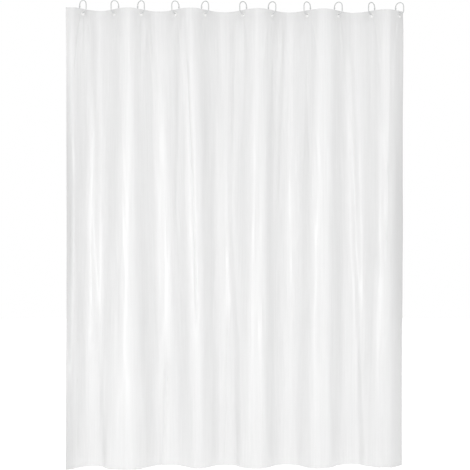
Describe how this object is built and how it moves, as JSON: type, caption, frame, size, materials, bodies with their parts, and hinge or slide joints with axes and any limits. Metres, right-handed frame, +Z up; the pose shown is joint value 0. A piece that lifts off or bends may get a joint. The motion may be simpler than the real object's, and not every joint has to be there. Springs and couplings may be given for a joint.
{
  "type": "shower curtain",
  "caption": "Frosted white plastic shower curtain that hangs in soft upright folds from white snap rings through eyelets in its top edge.",
  "frame": {"origin": "on the rod's top line, where the insides of the rings bear, midway along the curtain as it hangs", "axes": "+X along the rod to the right as the curtain is faced, +Y to the back, +Z up"},
  "size_m": [1.479, 0.1089, 2.0386],
  "materials": {
    "frosted_sheet": "satin",
    "welded_strip": "satin",
    "eyelet_white": "satin",
    "ring_white": "gloss"
  },
  "bodies": {
    "curtain": {"curtain_sheet": "frosted_sheet", "header_band": "welded_strip", "bottom_hem": "welded_strip", "left_hem": "welded_strip", "eyelet_front_01": "eyelet_white", "eyelet_back_01": "eyelet_white"},
    "slider_02": {"eyelet_front_02": "eyelet_white", "eyelet_back_02": "eyelet_white"},
    "slider_03": {"eyelet_front_03": "eyelet_white", "eyelet_back_03": "eyelet_white"},
    "slider_04": {"eyelet_front_04": "eyelet_white", "eyelet_back_04": "eyelet_white"},
    "slider_05": {"eyelet_front_05": "eyelet_white", "eyelet_back_05": "eyelet_white"},
    "slider_06": {"eyelet_front_06": "eyelet_white", "eyelet_back_06": "eyelet_white"},
    "slider_07": {"eyelet_front_07": "eyelet_white", "eyelet_back_07": "eyelet_white"},
    "slider_08": {"eyelet_front_08": "eyelet_white", "eyelet_back_08": "eyelet_white"},
    "slider_09": {"eyelet_front_09": "eyelet_white", "eyelet_back_09": "eyelet_white"},
    "slider_10": {"eyelet_front_10": "eyelet_white", "eyelet_back_10": "eyelet_white"},
    "slider_11": {"eyelet_front_11": "eyelet_white", "eyelet_back_11": "eyelet_white", "right_hem": "welded_strip"},
    "ring_01": {"ring_01": "ring_white"},
    "ring_02": {"ring_02": "ring_white"},
    "ring_03": {"ring_03": "ring_white"},
    "ring_04": {"ring_04": "ring_white"},
    "ring_05": {"ring_05": "ring_white"},
    "ring_06": {"ring_06": "ring_white"},
    "ring_07": {"ring_07": "ring_white"},
    "ring_08": {"ring_08": "ring_white"},
    "ring_09": {"ring_09": "ring_white"},
    "ring_10": {"ring_10": "ring_white"},
    "ring_11": {"ring_11": "ring_white"}
  },
  "joints": [
    {"name": "gather", "type": "slide", "parent": "curtain", "child": "slider_11", "axis": [-1, 0, 0], "range_m": [0, 0.874], "deforming": ["curtain_sheet", "header_band", "bottom_hem", "left_hem"]},
    {"name": "gather_02", "type": "slide", "parent": "curtain", "child": "slider_02", "axis": [-1, 0, 0], "range_m": [0, 0.0874]},
    {"name": "gather_03", "type": "slide", "parent": "curtain", "child": "slider_03", "axis": [-1, 0, 0], "range_m": [0, 0.15905]},
    {"name": "gather_04", "type": "slide", "parent": "curtain", "child": "slider_04", "axis": [-1, 0, 0], "range_m": [0, 0.25338]},
    {"name": "gather_05", "type": "slide", "parent": "curtain", "child": "slider_05", "axis": [-1, 0, 0], "range_m": [0, 0.33511]},
    {"name": "gather_06", "type": "slide", "parent": "curtain", "child": "slider_06", "axis": [-1, 0, 0], "range_m": [0, 0.44016]},
    {"name": "gather_07", "type": "slide", "parent": "curtain", "child": "slider_07", "axis": [-1, 0, 0], "range_m": [0, 0.51999]},
    {"name": "gather_08", "type": "slide", "parent": "curtain", "child": "slider_08", "axis": [-1, 0, 0], "range_m": [0, 0.61716]},
    {"name": "gather_09", "type": "slide", "parent": "curtain", "child": "slider_09", "axis": [-1, 0, 0], "range_m": [0, 0.70362]},
    {"name": "gather_10", "type": "slide", "parent": "curtain", "child": "slider_10", "axis": [-1, 0, 0], "range_m": [0, 0.79606]},
    {"name": "swivel_01", "type": "hinge", "parent": "curtain", "child": "ring_01", "pos_m": [-0.669, 0, -0.025], "axis": [0, 0, 1], "range_deg": [-40, 10]},
    {"name": "swivel_02", "type": "hinge", "parent": "slider_02", "child": "ring_02", "pos_m": [-0.53033, 0, -0.025], "axis": [0, 0, -1], "range_deg": [-40, 10]},
    {"name": "swivel_03", "type": "hinge", "parent": "slider_03", "child": "ring_03", "pos_m": [-0.41666, 0, -0.025], "axis": [0, 0, 1], "range_deg": [-40, 10]},
    {"name": "swivel_04", "type": "hinge", "parent": "slider_04", "child": "ring_04", "pos_m": [-0.26698, 0, -0.025], "axis": [0, 0, -1], "range_deg": [-40, 10]},
    {"name": "swivel_05", "type": "hinge", "parent": "slider_05", "child": "ring_05", "pos_m": [-0.13731, 0, -0.025], "axis": [0, 0, 1], "range_deg": [-40, 10]},
    {"name": "swivel_06", "type": "hinge", "parent": "slider_06", "child": "ring_06", "pos_m": [0.02936, 0, -0.025], "axis": [0, 0, -1], "range_deg": [-40, 10]},
    {"name": "swivel_07", "type": "hinge", "parent": "slider_07", "child": "ring_07", "pos_m": [0.15603, 0, -0.025], "axis": [0, 0, 1], "range_deg": [-40, 10]},
    {"name": "swivel_08", "type": "hinge", "parent": "slider_08", "child": "ring_08", "pos_m": [0.3102, 0, -0.025], "axis": [0, 0, -1], "range_deg": [-40, 10]},
    {"name": "swivel_09", "type": "hinge", "parent": "slider_09", "child": "ring_09", "pos_m": [0.44737, 0, -0.025], "axis": [0, 0, 1], "range_deg": [-40, 10]},
    {"name": "swivel_10", "type": "hinge", "parent": "slider_10", "child": "ring_10", "pos_m": [0.59405, 0, -0.025], "axis": [0, 0, -1], "range_deg": [-40, 10]},
    {"name": "swivel_11", "type": "hinge", "parent": "slider_11", "child": "ring_11", "pos_m": [0.71772, 0, -0.025], "axis": [0, 0, 1], "range_deg": [-40, 10]}
  ],
  "couplings": [
    {"joint": "gather_02", "follows": "gather", "ratio": 0.1},
    {"joint": "gather_03", "follows": "gather", "ratio": 0.18197},
    {"joint": "gather_04", "follows": "gather", "ratio": 0.2899},
    {"joint": "gather_05", "follows": "gather", "ratio": 0.38341},
    {"joint": "gather_06", "follows": "gather", "ratio": 0.50361},
    {"joint": "gather_07", "follows": "gather", "ratio": 0.59495},
    {"joint": "gather_08", "follows": "gather", "ratio": 0.70613},
    {"joint": "gather_09", "follows": "gather", "ratio": 0.80505},
    {"joint": "gather_10", "follows": "gather", "ratio": 0.91082}
  ]
}
